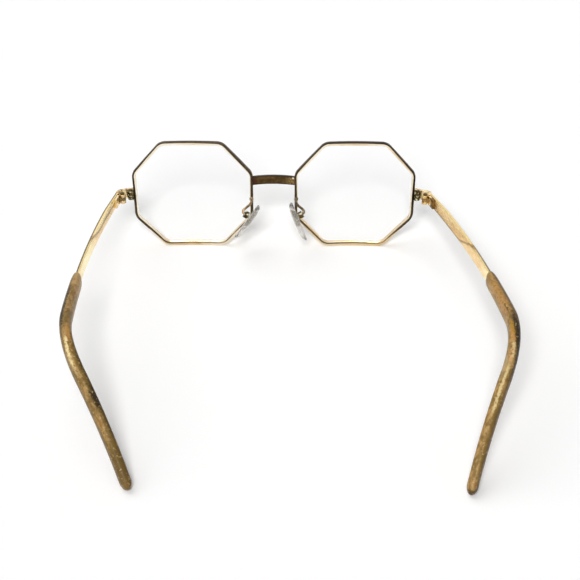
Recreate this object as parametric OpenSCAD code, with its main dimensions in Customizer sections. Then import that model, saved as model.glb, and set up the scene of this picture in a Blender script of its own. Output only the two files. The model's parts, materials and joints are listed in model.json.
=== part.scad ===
// Octagonal wire-rim eyeglasses with adjustable nose pads and folding temples.
// The model stands as the glasses lie open on a table, on both rims and both temple tips.
// +X is the wearer's right, +Y is the way the wearer looks and +Z is up.
// Lengths are millimetres and angles are degrees.

/* [Rims] */
// Outside width of each rim
rim_w = 47.9; // [42:0.1:54]
// Outside height of each rim
rim_h = 45.3; // [40:0.1:50]
// Length of the top and bottom sides between their corner points
rim_top_side = 24.5; // [20:0.1:28]
// Length of the upright sides between their corner points
rim_upright_side = 19.2; // [16:0.1:22]
// Outside radius of the four upper corners
rim_upper_r = 4.7; // [3.5:0.1:7]
// Outside radius of the four lower corners
rim_lower_r = 6.2; // [3.5:0.1:7]
// Thickness of the rim wire across the face
rim_t = 1.3; // [1.1:0.05:2]
// Depth of the rim wire from front to back
rim_depth = 2.1; // [1.9:0.05:3]
// Radius of the sphere that the rims and lenses follow
base_r = 110; // [90:1:300]
// Gap between the two rims at the nose
nose_gap = 16.6; // [15:0.1:22]
// Width of the groove that holds the lens
groove_w = 0.7; // [0.5:0.05:1]
// Depth of the groove that holds the lens
groove_depth = 0.5; // [0.3:0.05:0.7]

/* [Lenses] */
// Thickness of each lens
lens_t = 1.7; // [1.2:0.05:1.8]
// Clearance between a lens and its rim
lens_clearance = 0.05; // [0.02:0.01:0.15]

/* [Bridge] */
// Height of the bridge strap
bridge_h = 3.6; // [2.5:0.1:5]
// Thickness of the bridge strap
bridge_t = 1.3; // [1:0.05:1.8]
// Height of the strap's middle above the rims' middle, at its ends
bridge_z = 6.1; // [3:0.1:8]
// How far the strap arches up at its middle
bridge_rise = 0.55; // [0.2:0.05:2]

/* [End pieces and rim locks] */
// Height of the strap that carries each hinge
strap_h = 4; // [3.8:0.1:5]
// Thickness of that strap
strap_t = 1.2; // [1:0.05:1.6]
// Angle at which the strap leaves the rim towards the back
strap_sweep = 22; // [10:1:30]
// Centre-line radius of the strap's bend
strap_bend_r = 1.6; // [1.2:0.1:2.2]
// Length of the strap's rear arm, from its bend point to the hinge axis
strap_arm = 3; // [2.9:0.1:5]
// Radius of the closing barrel at the end of each rim
lock_r = 1.2; // [1.1:0.05:1.5]
// Height of the two closing barrels together
lock_h = 3.6; // [3.2:0.1:5]
// Saw cut between the two closing barrels and through the rim
lock_gap = 0.16; // [0.1:0.02:0.3]
// Radius of the closing screw's shank
lock_screw_r = 0.55; // [0.4:0.05:0.65]

/* [Hinges] */
// Distance of each hinge axis outward from its rim
hinge_reach = 4; // [3.6:0.1:6]
// Distance of each hinge axis behind the rims
hinge_back = 3.6; // [3.4:0.1:6]
// Height of each hinge above the rims' middle
hinge_z = -0.2; // [-2:0.1:4]
// Height of the three knuckles together
hinge_h = 3.8; // [3.4:0.1:4.2]
// Radius of each knuckle
knuckle_r = 1.25; // [1.1:0.05:1.4]
// Distance from the hinge axis to the inner face of strap and temple
hinge_offset = 1.7; // [1.6:0.05:2.2]
// Thickness of each hinge leaf
leaf_t = 0.8; // [0.5:0.05:0.9]
// Length of the leaf on the end piece
front_leaf_l = 0.9; // [0.6:0.1:1]
// Length of the leaf on the temple
temple_leaf_l = 4.5; // [3:0.1:8]
// Radius of the hinge screw's shank
hinge_screw_r = 0.5; // [0.4:0.05:0.6]
// Running clearance around a screw, on the radius
screw_clearance = 0.05; // [0.03:0.01:0.1]
// Clearance between one knuckle and the next
knuckle_gap = 0.1; // [0.06:0.02:0.2]
// How far past straight the temples can open
over_open = 10; // [9:1:12]

/* [Temples] */
// Length of each temple from the hinge to the tip
temple_l = 150; // [135:1:160]
// Height of the temple bar at the hinge
bar_h = 4.4; // [4:0.1:5.4]
// Height of the temple bar where it is highest
bar_h_wide = 5.4; // [4.6:0.1:6]
// Height of the temple bar where it enters the tip
bar_h_mouth = 5; // [3:0.1:5.1]
// Height of the core wire at its end
core_h_end = 2; // [1.6:0.1:2.6]
// Thickness of the temple bar and its core wire
bar_t = 1.2; // [1:0.05:1.5]
// Outward angle of the end piece's arm, and of a straight temple
flare = 6.5; // [4:0.5:12]
// How much the temple bows back inward before the ear bend
bow = 10; // [4:0.5:14]
// Distance from the hinge to the start of the ear bend
bend_start = 87; // [78:1:95]
// Length of the ear bend
bend_l = 25.5; // [18:0.5:32]
// Downward slope of the temple before the ear bend
slope = 1; // [0:0.1:3]
// Downward angle of the part behind the ear
drop = 42; // [35:1:50]
// How much the ear bend turns inward
sweep = 35.5; // [20:1:40]
// How much the tip turns back outward
tip_return = 8.5; // [0:0.5:10]

/* [Temple tips] */
// Distance from the hinge to the mouth of the plastic tip
tip_start = 63; // [50:0.5:70]
// Thickness of the plastic tip
tip_t = 4; // [3.4:0.1:4.6]
// Height of the plastic tip
tip_h = 6.4; // [6.3:0.1:7.4]
// Length of plastic beyond the end of the core wire
tip_solid = 8; // [5:1:14]
// Clearance between the core wire and the tip around it
core_clearance = 0.04; // [0.03:0.01:0.1]

/* [Nose pads] */
// Length of each pad
pad_l = 17; // [14:0.5:18]
// Width of each pad
pad_w = 7.6; // [6:0.1:8.5]
// Thickness of each pad at its middle
pad_t = 2.2; // [2:0.1:2.8]
// Distance of each pad's screw from the edge of its rim, behind the lens
pad_reach = 2.2; // [1.8:0.1:3]
// Distance of each pad's screw behind the rims
pad_back = 8.2; // [7:0.1:9.5]
// Depth of each pad's screw below the rims' middle
pad_drop = 5.2; // [4:0.1:7]
// How far each pad's middle hangs below its screw
pad_hang = 2.2; // [0:0.1:3]
// How far the pads lean in at the top
pad_tilt = 27; // [18:1:32]
// How far the pads turn towards the wearer
pad_splay = 15; // [5:1:25]
// Diameter of the pad arms' wire
arm_d = 1; // [0.8:0.05:1.2]
// Radius of the pad screws
pad_screw_r = 0.4; // [0.3:0.05:0.45]

/* [Position at rest] */
// How far past straight the right temple stands open
right_over_open = 9; // [0:0.1:10]
// How far past straight the left temple stands open
left_over_open = 0; // [0:0.1:10]
// How far the lower end of the left pad is rocked outward
left_pad_rock = 7; // [-8:0.5:8]
// How far the lower end of the right pad is rocked outward
right_pad_rock = -7; // [-8:0.5:8]

/* [Hidden] */

GOLD = [0.83, 0.69, 0.42];
DARK_GOLD = [0.55, 0.43, 0.25];
BRONZE = [0.33, 0.27, 0.16];
PLASTIC = [0.6, 0.47, 0.3];
CLEAR = [0.88, 0.9, 0.9, 0.4];

sphere_fn = 220;
round_fn = 40;
corner_steps = 5;
cut_depth = 24;
beyond = 5;
over = 0.5;
left = -1;
right = 1;

// Rims: both follow a sphere, placed so that the rim wire's middle is at y = 0
rim_cx = nose_gap / 2 + rim_w / 2;
rim_mid_r = (rim_w - rim_t) / 2;
sphere_y = -sqrt(base_r * base_r - rim_mid_r * rim_mid_r);
rim_back_r = base_r - rim_depth / 2;
rim_out_x = rim_cx + rim_w / 2;
hinge_x = rim_out_x + hinge_reach;
pad_x = nose_gap / 2 + pad_reach;

// Heights that the lock and the hinge share
mid_z = hinge_z;
screw_head_h = 0.45;
slot_w = 0.25;
slot_depth = 0.22;
lock_slot_turn = 30;
hinge_slot_turn = 40;

// Rim lock
lock_stand = 0.05;
lock_x = rim_out_x + lock_r + lock_stand;
lock_y = -0.35;
lock_head_rim = 0.3;
lock_head_r = lock_screw_r + lock_head_rim;
lock_point_l = 0.2;

// Hinge frame: x outward from the strap's face, y forward along the strap's rear arm
strap_mid = hinge_offset + strap_t / 2;
arm_foot = [
    hinge_x + strap_mid * cos(flare),
    -hinge_back + strap_mid * sin(flare)
];
strap_corner = arm_foot + strap_arm * [-sin(flare), cos(flare)];
strap_inset = 0.3;
strap_root_x = rim_out_x + strap_inset;
strap_root = [strap_root_x, strap_corner[1] + (strap_corner[0] - strap_root_x) * tan(strap_sweep)];
strap_turn = 90 - flare - strap_sweep;
knuckle_lap = 0.1;
leaf_start = knuckle_r - knuckle_lap;
arm_start = 0.35;
knuckle_h = (hinge_h - 2 * knuckle_gap) / 3;
hinge_head_rim = 0.4;
hinge_head_r = hinge_screw_r + hinge_head_rim;

// Temple: angles and sections along its length
straight_l = 10;
bar_swell = 16;
core_end = temple_l - tip_solid;
bend_end = bend_start + bend_l;
butt_gap = 0.15;
temple_rings = 46;
butt = (butt_gap + hinge_offset * sin(over_open)) / cos(over_open);

// Temple tip
mouth_thinning = 1.4;
mouth_lowering = 0.5;
tip_mouth_t = tip_t - mouth_thinning;
tip_mouth_h = tip_h - mouth_lowering;
mouth_chamfer = 0.3;
tip_thinning = 0.5;
tip_lowering = 1.2;
tip_swell = 4;
tip_round = 3;
tip_rings = 32;
cavity_rings = 28;

// Pads: the frame's origin is the screw's axis, x points away from the nose
pad_face = 1;
pad_edge_t = 0.9;
plate_t = 0.5;
plate_w = 2.6;
plate_l = 6.5;
plate_depth = 0.35;
plate_x = pad_face + plate_depth;
lug_w = 0.9;
lug_r = 0.68;
box_in = 0.6;
box_out = 1.2;
box_w = 2.6;
box_h = 2;
box_slot_w = 1.2;
box_slot_out = 0.85;
pad_head_rim = 0.3;
pad_head_r = pad_screw_r + pad_head_rim;
pad_sides = 16;
pad_rings = 14;
pad_end_a = 84;

// Pad arms: a bead soldered to the back of the rim, and the wire's guide points
bead_r = 0.85;
bead_l = 0.9;
bead_x = nose_gap / 2 + rim_t / 2;
bead_z = -1.4;
bead_sink = 0.2;
bead_y = rim_y(rim_mid_r, bead_z, rim_back_r) - bead_l + bead_sink;
arm_gap = 0.02;
arm_rings = 26;
arm_sides = 8;
arm_points = [
    [bead_x, bead_y, bead_z],
    [bead_x - 0.2, bead_y - 2.4, bead_z - 0.4],
    [bead_x + 0.2, bead_y - 4.6, bead_z - 1.2],
    from_pad_frame([2.8, 0.8, 1.8]),
    from_pad_frame([2.8, 0, 0]),
    from_pad_frame([box_out + arm_gap, 0, 0])
];

// A point turned about each axis
function about_x(p, a) = [p[0], p[1] * cos(a) - p[2] * sin(a), p[1] * sin(a) + p[2] * cos(a)];
function about_y(p, a) = [p[0] * cos(a) + p[2] * sin(a), p[1], p[2] * cos(a) - p[0] * sin(a)];
function about_z(p, a) = [p[0] * cos(a) - p[1] * sin(a), p[0] * sin(a) + p[1] * cos(a), p[2]];
function unit(v) = v / norm(v);

// Outline with arcs of radius r at its corners, drawn parallel to itself by inset
function corner_arc(a, p, b, r, inset, steps) =
    let (
        u = unit(a - p),
        v = unit(b - p),
        half = acos(u * v) / 2,
        centre = p + unit(u + v) * r / sin(half),
        from = atan2(u[0], -u[1]),
        turn = (180 - 2 * half) / steps
    )
    [for (i = [0:steps]) centre + (r - inset) * [cos(from + turn * i), sin(from + turn * i)]];
function rounded(points, radii, inset, steps) =
    let (n = len(points))
    [for (i = [0:n - 1])
        each corner_arc(
            points[(i + n - 1) % n], points[i], points[(i + 1) % n], radii[i], inset, steps
        )];

rim_corners = [
    [rim_w / 2, rim_upright_side / 2], [rim_top_side / 2, rim_h / 2],
    [-rim_top_side / 2, rim_h / 2], [-rim_w / 2, rim_upright_side / 2],
    [-rim_w / 2, -rim_upright_side / 2], [-rim_top_side / 2, -rim_h / 2],
    [rim_top_side / 2, -rim_h / 2], [rim_w / 2, -rim_upright_side / 2]
];
rim_radii = [for (p = rim_corners) p[1] > 0 ? rim_upper_r : rim_lower_r];
function rim_outline(inset) = rounded(rim_corners, rim_radii, inset, corner_steps);

// Oblong section with rounded corners, count points, counter-clockwise
function signed_root(c, power) = sign(c) * pow(abs(c), power);
function oblong(t, h, count, squareness) =
    [for (i = [0:count - 1])
        let (a = 360 * (i + 0.5) / count)
        [t / 2 * signed_root(cos(a), 2 / squareness), h / 2 * signed_root(sin(a), 2 / squareness)]];

// One closed solid through rings of equal length
module skin(rings) {
    n = len(rings[0]);
    m = len(rings);
    polyhedron(
        [for (ring = rings) each ring],
        [
            [for (i = [0:n - 1]) i],
            for (k = [0:m - 2], i = [0:n - 1])
                let (here = k * n, next = here + n, j = (i + 1) % n)
                each [[here + i, next + i, next + j], [here + i, next + j, here + j]],
            [for (i = [n - 1:-1:0]) (m - 1) * n + i]
        ],
        convexity = 8
    );
}

// Temple's centre line in the hinge frame, stepped along its length
function temple_turn(s) = lookup(s, [
    [0, 0], [straight_l, 0], [bend_start, -bow],
    [bend_end, -bow - sweep], [temple_l, -bow - sweep + tip_return]
]);
function temple_fall(s) = lookup(s, [
    [0, 0], [straight_l, 0], [2 * straight_l, slope], [bend_start, slope], [bend_end, drop]
]);
function heading(s) =
    let (a = temple_turn(s), e = temple_fall(s))
    [sin(a) * cos(e), -cos(a) * cos(e), -sin(e)];
line_step = 0.5;
line_points = [
    for (i = 0, p = [strap_mid, 0, 0]; i <= temple_l / line_step;
        p = p + line_step * heading((i + 0.5) * line_step), i = i + 1) p
];
function line_at(s) =
    let (i = min(floor(s / line_step), len(line_points) - 1))
    line_points[i] + (s - i * line_step) * heading((s + i * line_step) / 2);
function ring_at(s, section, skew = 0) =
    let (
        d = heading(s),
        side = [cos(temple_turn(s)), sin(temple_turn(s)), 0],
        up = cross(d, side),
        p = line_at(s)
    )
    [for (q = section) p + q[0] * side + q[1] * up + (q[0] * tan(skew)) * d];

function bar_height(s) = lookup(s, [
    [0, bar_h], [bar_swell, bar_h_wide], [tip_start, bar_h_mouth], [core_end, core_h_end]
]);
bar_start = butt + bar_t / 2 * tan(over_open);
temple_stations = [for (i = [0:temple_rings]) bar_start + (core_end - bar_start) * i / temple_rings];
function bar_section(s, extra = 0) = oblong(bar_t + 2 * extra, bar_height(s) + 2 * extra, 12, 5);

function tip_thickness(s) = lookup(s, [
    [tip_start, tip_mouth_t], [tip_start + tip_swell * 0.35, tip_t - mouth_thinning * 0.5],
    [tip_start + tip_swell, tip_t - tip_thinning * 0.6], [bend_start, tip_t],
    [bend_end, tip_t - tip_thinning * 0.2], [temple_l, tip_t - tip_thinning]
]);
function tip_height(s) = lookup(s, [
    [tip_start, tip_mouth_h], [tip_start + tip_swell * 0.35, tip_h - mouth_lowering * 0.65],
    [tip_start + tip_swell, tip_h - tip_lowering * 0.2], [bend_start, tip_h],
    [bend_end, tip_h - tip_lowering * 0.8], [temple_l, tip_h - tip_lowering]
]);
function tip_section(s, k = 1) = oblong(tip_thickness(s) * k, tip_height(s) * k, 12, 2.8);
tip_body_start = tip_start + tip_swell;
tip_body_end = temple_l - tip_round;
cavity_shell = [
    for (i = [0:cavity_rings])
        let (s = core_end + core_clearance - (core_end + core_clearance - tip_start) * i / cavity_rings)
        ring_at(s, bar_section(s, core_clearance))
];
outer_shell = [
    ring_at(tip_start, tip_section(tip_start, 0.9)),
    for (s = [mouth_chamfer, tip_swell * 0.2, tip_swell * 0.35, tip_swell * 0.65])
        ring_at(tip_start + s, tip_section(tip_start + s)),
    for (i = [0:tip_rings])
        let (s = tip_body_start + (tip_body_end - tip_body_start) * i / tip_rings)
        ring_at(s, tip_section(s)),
    for (a = [25, 50, 70, 85])
        ring_at(tip_body_end + tip_round * sin(a), tip_section(temple_l, cos(a)))
];
tip_shell = concat(cavity_shell, outer_shell);

// Where a point of the hinge frame stands on the glasses, for the right side
function on_glasses(p, over_opened) =
    about_z(p, flare + over_opened) + [hinge_x, -hinge_back, hinge_z];
right_tip_points = [for (ring = outer_shell) for (p = ring) on_glasses(p, right_over_open)];
left_tip_points = [for (ring = outer_shell) for (p = ring) on_glasses(p, left_over_open)];
tip_points = concat(right_tip_points, left_tip_points);

// The glasses tip about the rims until rims and temple tips stand at one height
function rim_y(x, z, r) = sphere_y + sqrt(r * r - x * x - z * z);
rim_foot = [
    [rim_cx, rim_y(0, rim_h / 2, rim_back_r), -rim_h / 2],
    [rim_cx, rim_y(0, rim_h / 2, rim_back_r + rim_depth), -rim_h / 2]
];
function lowest(points, a) = min([for (p = points) about_x(p, a)[2]]);
function settled(a, rounds) =
    rounds == 0 ? a
    : settled(a + asin((lowest(tip_points, a) - lowest(rim_foot, a)) / temple_l), rounds - 1);
rest_tilt = settled(0, 12);
standing_tips = [for (p = tip_points) about_x(p, rest_tilt)];
rest_lift = -min([for (p = standing_tips) p[2]]);
span_x = [
    min([for (p = left_tip_points) -p[0]]),
    max([for (p = right_tip_points) p[0]])
];
front_y = sphere_y * cos(rest_tilt) + base_r + lens_t / 2;
shift_x = -(span_x[0] + span_x[1]) / 2;
shift_y = -(front_y + min([for (p = standing_tips) p[1]])) / 2;

module part_frame() {
    translate([shift_x, shift_y, rest_lift]) rotate([rest_tilt, 0, 0]) children();
}
module mirrored(side) {
    if (side == left) mirror([1, 0, 0]) children();
    else children();
}
module on_side(side) {
    part_frame() mirrored(side) children();
}
module hinge_frame(side, over_opened = 0) {
    on_side(side) translate([hinge_x, -hinge_back, hinge_z]) rotate([0, 0, flare + over_opened]) children();
}
function opened(side) = side == left ? left_over_open : right_over_open;
function rocked(side) = side == left ? left_pad_rock : right_pad_rock;

module face_prism(outline, depth = cut_depth) {
    rotate([90, 0, 0]) linear_extrude(depth, center = true) polygon(outline);
}
module ball(r) {
    translate([0, sphere_y, 0]) sphere(r, $fn = sphere_fn);
}
module shell(inner_r, outer_r) {
    difference() {
        ball(outer_r);
        ball(inner_r);
    }
}
module at_rim() {
    translate([rim_cx, 0, 0]) children();
}

// Rim wire: an octagonal ring cut from a spherical shell, grooved inside and sawn at the lock
module rim(side) {
    color(GOLD) on_side(side) difference() {
        at_rim() difference() {
            intersection() {
                shell(rim_back_r, rim_back_r + rim_depth);
                face_prism(rim_outline(0));
            }
            face_prism(rim_outline(rim_t));
            intersection() {
                shell(base_r - groove_w / 2, base_r + groove_w / 2);
                face_prism(rim_outline(rim_t - groove_depth));
            }
        }
        translate([rim_out_x, 0, mid_z]) cube([4 * rim_t, 4 * rim_depth, lock_gap], center = true);
    }
}

// Lens: the same spherical shell, with a tongue round its edge that sits in the groove
module lens(side) {
    color(CLEAR) on_side(side) at_rim() union() {
        intersection() {
            shell(base_r - lens_t / 2, base_r + lens_t / 2);
            face_prism(rim_outline(rim_t + lens_clearance));
        }
        intersection() {
            shell(base_r - groove_w / 2 + lens_clearance, base_r + groove_w / 2 - lens_clearance);
            face_prism(rim_outline(rim_t - groove_depth + lens_clearance));
        }
    }
}

// Bridge: a flat arched strap whose ends are shaped to the rims
function arch(x, z) = z + bridge_rise * (1 - pow(2 * x / nose_gap, 2));
module bridge() {
    half = nose_gap / 2 + rim_t;
    steps = 16;
    xs = [for (i = [0:steps]) -half + 2 * half * i / steps];
    outline = concat(
        [for (x = xs) [x, arch(x, bridge_z - bridge_h / 2)]],
        [for (i = [steps:-1:0]) [xs[i], arch(xs[i], bridge_z + bridge_h / 2)]]
    );
    color(BRONZE) part_frame() difference() {
        face_prism(outline, bridge_t);
        for (side = [left, right])
            translate([side * rim_cx, 0, 0]) face_prism(rim_outline(0));
    }
}

// Outline, from above, of a strap of thickness t that runs through root, corner and foot
function strap_outline(t) =
    let (
        start = -strap_sweep,
        along = [cos(start), sin(start)],
        across = [-sin(start), cos(start)],
        out = [cos(flare), sin(flare)],
        reach = strap_bend_r * tan(strap_turn / 2),
        centre = strap_corner - reach * along - strap_bend_r * across,
        steps = 8
    )
    concat(
        [strap_root + t / 2 * across],
        [for (i = [0:steps])
            let (a = 90 + start - strap_turn * i / steps)
            centre + (strap_bend_r + t / 2) * [cos(a), sin(a)]],
        [arm_foot + t / 2 * out],
        [arm_foot - t / 2 * out],
        [for (i = [steps:-1:0])
            let (a = 90 + start - strap_turn * i / steps)
            centre + (strap_bend_r - t / 2) * [cos(a), sin(a)]],
        [strap_root - t / 2 * across]
    );
module end_piece(side) {
    color(GOLD) on_side(side) translate([0, 0, mid_z])
        linear_extrude(strap_h, center = true) polygon(strap_outline(strap_t));
}

// Closing barrels of the rim lock, which the strap lies against
module lock_half(side, from, to, bore_r) {
    color(DARK_GOLD) on_side(side) translate([0, 0, mid_z]) difference() {
        union() {
            translate([lock_x, lock_y, from]) cylinder(r = lock_r, h = to - from, $fn = round_fn);
            translate([rim_out_x, lock_y - lock_r, from])
                cube([lock_x - rim_out_x, 2 * lock_r + rim_depth / 2, to - from]);
        }
        translate([lock_x, lock_y, 0])
            cylinder(r = bore_r, h = 2 * lock_h, center = true, $fn = round_fn);
        linear_extrude(2 * lock_h, center = true) polygon(in_front_of_strap());
    }
}
function in_front_of_strap() =
    let (
        along = beyond * [cos(strap_sweep), -sin(strap_sweep)],
        across = [sin(strap_sweep), cos(strap_sweep)],
        back = strap_root - strap_t / 2 * across
    )
    [back - along, back + along, back + along + beyond * across, back - along + beyond * across];
module lock_upper(side) {
    lock_half(side, lock_gap / 2, lock_h / 2, lock_screw_r + screw_clearance);
}
module lock_lower(side) {
    lock_half(side, -lock_h / 2, -lock_gap / 2, lock_screw_r + screw_clearance / 4);
}

// Slotted screw standing on its point: the head lies above z = 0, the shank reaches down
module slotted_screw(r, length, head_r) {
    difference() {
        union() {
            translate([0, 0, -length]) cylinder(r = r, h = length, $fn = round_fn);
            cylinder(r = head_r, h = screw_head_h, $fn = round_fn);
        }
        translate([0, 0, screw_head_h]) cube([3 * head_r, slot_w, 2 * slot_depth], center = true);
    }
}
module lock_screw(side) {
    color(DARK_GOLD) on_side(side) translate([lock_x, lock_y, mid_z + lock_h / 2])
        rotate([0, 0, lock_slot_turn]) slotted_screw(lock_screw_r, lock_h - lock_point_l, lock_head_r);
}

// Hinge leaves, in the hinge frame: a knuckle with the arm that joins it to its leaf
module knuckle(from, to, direction) {
    translate([0, 0, from]) cylinder(r = knuckle_r, h = to - from, $fn = round_fn);
    mirror([0, direction < 0 ? 1 : 0, 0])
        translate([0, arm_start, from]) cube([hinge_offset, leaf_start + over - arm_start, to - from]);
}
module leaf_plate(length, direction) {
    mirror([0, direction < 0 ? 1 : 0, 0])
        translate([hinge_offset - leaf_t, leaf_start, -hinge_h / 2]) cube([leaf_t, length, hinge_h]);
}
module hinge_bore(r) {
    cylinder(r = r, h = 2 * hinge_h, center = true, $fn = round_fn);
}
module front_hinge(side) {
    color(GOLD) hinge_frame(side) difference() {
        union() {
            leaf_plate(front_leaf_l, 1);
            knuckle(hinge_h / 2 - knuckle_h, hinge_h / 2, 1);
            knuckle(-hinge_h / 2, -hinge_h / 2 + knuckle_h, 1);
        }
        hinge_bore(hinge_screw_r + screw_clearance);
    }
}
module temple_hinge(side) {
    color(GOLD) hinge_frame(side, opened(side)) difference() {
        union() {
            leaf_plate(temple_leaf_l, -1);
            knuckle(-knuckle_h / 2, knuckle_h / 2, -1);
        }
        hinge_bore(hinge_screw_r + screw_clearance);
    }
}
module hinge_screw(side) {
    color(DARK_GOLD) hinge_frame(side) translate([0, 0, hinge_h / 2])
        rotate([0, 0, hinge_slot_turn]) slotted_screw(hinge_screw_r, hinge_h, hinge_head_r);
}

// Temple bar that runs on as the core wire inside the plastic tip
module temple(side) {
    color(GOLD) hinge_frame(side, opened(side)) skin([
        for (i = [0:temple_rings])
            let (s = temple_stations[i])
            ring_at(s, bar_section(s), i == 0 ? over_open : 0)
    ]);
}
module temple_tip(side) {
    color(PLASTIC) hinge_frame(side, opened(side)) skin(tip_shell);
}

// Pad parts share a frame on the pad screw's axis, which runs along y
module pad_frame(side, rock = 0) {
    on_side(side) translate([pad_x, -pad_back, -pad_drop])
        rotate([0, -pad_tilt, 0]) rotate([0, 0, pad_splay]) rotate([0, -rock, 0]) children();
}
function from_pad_frame(p) =
    about_y(about_z(p, pad_splay), -pad_tilt) + [pad_x, -pad_back, -pad_drop];

module pad_box(side) {
    color(DARK_GOLD) pad_frame(side) difference() {
        translate([-box_in, -box_w / 2, -box_h / 2]) cube([box_in + box_out, box_w, box_h]);
        translate([-box_in - over, -box_slot_w / 2, -box_h])
            cube([box_in + over + box_slot_out, box_slot_w, 2 * box_h]);
        rotate([90, 0, 0])
            cylinder(r = pad_screw_r + screw_clearance / 4, h = 2 * box_w, center = true, $fn = round_fn);
    }
}
module pad_screw(side) {
    color(DARK_GOLD) pad_frame(side) translate([0, -box_w / 2, 0]) rotate([90, 0, 0])
        slotted_screw(pad_screw_r, box_w, pad_head_r);
}
module insert_body() {
    translate([-plate_x - plate_t, -plate_w / 2, -plate_l / 2]) cube([plate_t, plate_w, plate_l]);
    translate([-plate_x - over / 2, -lug_w / 2, -lug_r]) cube([plate_x + over / 2, lug_w, 2 * lug_r]);
}
module pad_insert(side) {
    color(DARK_GOLD) pad_frame(side, rocked(side)) difference() {
        union() {
            insert_body();
            rotate([90, 0, 0]) cylinder(r = lug_r, h = lug_w, center = true, $fn = round_fn);
        }
        rotate([90, 0, 0])
            cylinder(r = pad_screw_r + screw_clearance, h = 2 * lug_w, center = true, $fn = round_fn);
    }
}

// Clear pad: flat towards the rim, crowned towards the nose, with room for its metal insert
module nose_pad(side) {
    rings = [
        for (k = [0:pad_rings])
            let (
                a = pad_end_a * (2 * k / pad_rings - 1),
                full = pow(cos(a), 0.8),
                thick = pad_edge_t + (pad_t - pad_edge_t) * pow(cos(a), 0.7),
                t = thick * min(1, 0.35 + full)
            )
            [for (i = [0:pad_sides - 1])
                let (b = 360 * (i + 0.5) / pad_sides, x = signed_root(cos(b), 0.9))
                [
                    -pad_face - (
                        x > 0 ? pad_edge_t / 2 * (1 - x) : pad_edge_t / 2 - (t - pad_edge_t / 2) * x
                    ),
                    pad_w / 2 * full * signed_root(sin(b), 0.8),
                    pad_l / 2 * sin(a) - pad_hang
                ]]
    ];
    color(CLEAR) pad_frame(side, rocked(side)) difference() {
        skin(rings);
        insert_body();
    }
}

// Pad arm: a wire bent from a bead on the back of the rim to the pad box
function bezier(points, t) =
    len(points) == 1 ? points[0]
    : bezier([for (i = [0:len(points) - 2]) points[i] * (1 - t) + points[i + 1] * t], t);
module pad_arm(side) {
    last = arm_rings;
    line = [for (k = [0:last]) bezier(arm_points, k / last)];
    rings = [
        for (k = [0:last])
            let (
                d = k == last ? unit(arm_points[5] - arm_points[4])
                    : unit(line[k + 1] - line[max(k - 1, 0)]),
                u = unit(cross([0.2, 0.3, 1], d)),
                v = cross(d, u)
            )
            [for (i = [0:arm_sides - 1])
                let (a = 360 * i / arm_sides)
                line[k] + arm_d / 2 * (cos(a) * u + sin(a) * v)]
    ];
    color(DARK_GOLD) on_side(side) union() {
        skin(rings);
        intersection() {
            translate([bead_x, 0, bead_z]) rotate([90, 0, 0])
                cylinder(r = bead_r, h = bead_l - rim_y(rim_mid_r, bead_z, rim_back_r), $fn = round_fn);
            at_rim() ball(rim_back_r);
        }
    }
}

bridge();
rim(left);  // left_rim
rim(right);  // right_rim
lens(left);  // left_lens
lens(right);  // right_lens
lock_upper(left);  // left_lock_upper
lock_upper(right);  // right_lock_upper
lock_lower(left);  // left_lock_lower
lock_lower(right);  // right_lock_lower
lock_screw(left);  // left_lock_screw
lock_screw(right);  // right_lock_screw
end_piece(left);  // left_end_piece
end_piece(right);  // right_end_piece
front_hinge(left);  // left_front_hinge
front_hinge(right);  // right_front_hinge
hinge_screw(left);  // left_hinge_screw
hinge_screw(right);  // right_hinge_screw
pad_arm(left);  // left_pad_arm
pad_arm(right);  // right_pad_arm
pad_box(left);  // left_pad_box
pad_box(right);  // right_pad_box
pad_screw(left);  // left_pad_screw
pad_screw(right);  // right_pad_screw
pad_insert(left);  // left_pad_insert
pad_insert(right);  // right_pad_insert
nose_pad(left);  // left_nose_pad
nose_pad(right);  // right_nose_pad
temple_hinge(left);  // left_temple_hinge
temple_hinge(right);  // right_temple_hinge
temple(left);  // left_temple
temple(right);  // right_temple
temple_tip(left);  // left_temple_tip
temple_tip(right);  // right_temple_tip
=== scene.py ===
"""Looks of the octagonal wire-rim eyeglasses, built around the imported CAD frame.

Shapes are written in millimetres in the glasses' own frame: x outward (mirrored for the left
side), y forward, z up, before the glasses tip over onto the table. place() turns a point of that
frame into Blender's metres. The values repeat those of the part's source.
"""

import json
import math

import bmesh
import bpy
from mathutils import Matrix, Vector


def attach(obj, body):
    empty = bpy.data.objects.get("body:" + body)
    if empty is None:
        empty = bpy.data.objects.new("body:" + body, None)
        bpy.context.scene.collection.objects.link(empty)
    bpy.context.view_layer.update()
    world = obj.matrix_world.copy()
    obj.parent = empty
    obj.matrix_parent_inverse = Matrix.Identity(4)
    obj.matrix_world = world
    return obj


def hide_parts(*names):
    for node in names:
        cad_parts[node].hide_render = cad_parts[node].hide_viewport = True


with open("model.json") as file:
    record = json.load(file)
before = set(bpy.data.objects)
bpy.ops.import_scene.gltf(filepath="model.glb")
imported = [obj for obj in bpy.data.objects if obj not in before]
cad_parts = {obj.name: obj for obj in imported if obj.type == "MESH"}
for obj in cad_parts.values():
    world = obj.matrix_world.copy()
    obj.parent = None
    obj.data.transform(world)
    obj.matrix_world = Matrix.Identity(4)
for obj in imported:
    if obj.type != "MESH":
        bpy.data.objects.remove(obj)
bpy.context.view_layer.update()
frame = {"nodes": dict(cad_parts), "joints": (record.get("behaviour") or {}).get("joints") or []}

MM = 0.001
LEFT, RIGHT = -1, 1
SIDE_NAMES = {LEFT: "left", RIGHT: "right"}

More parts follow.
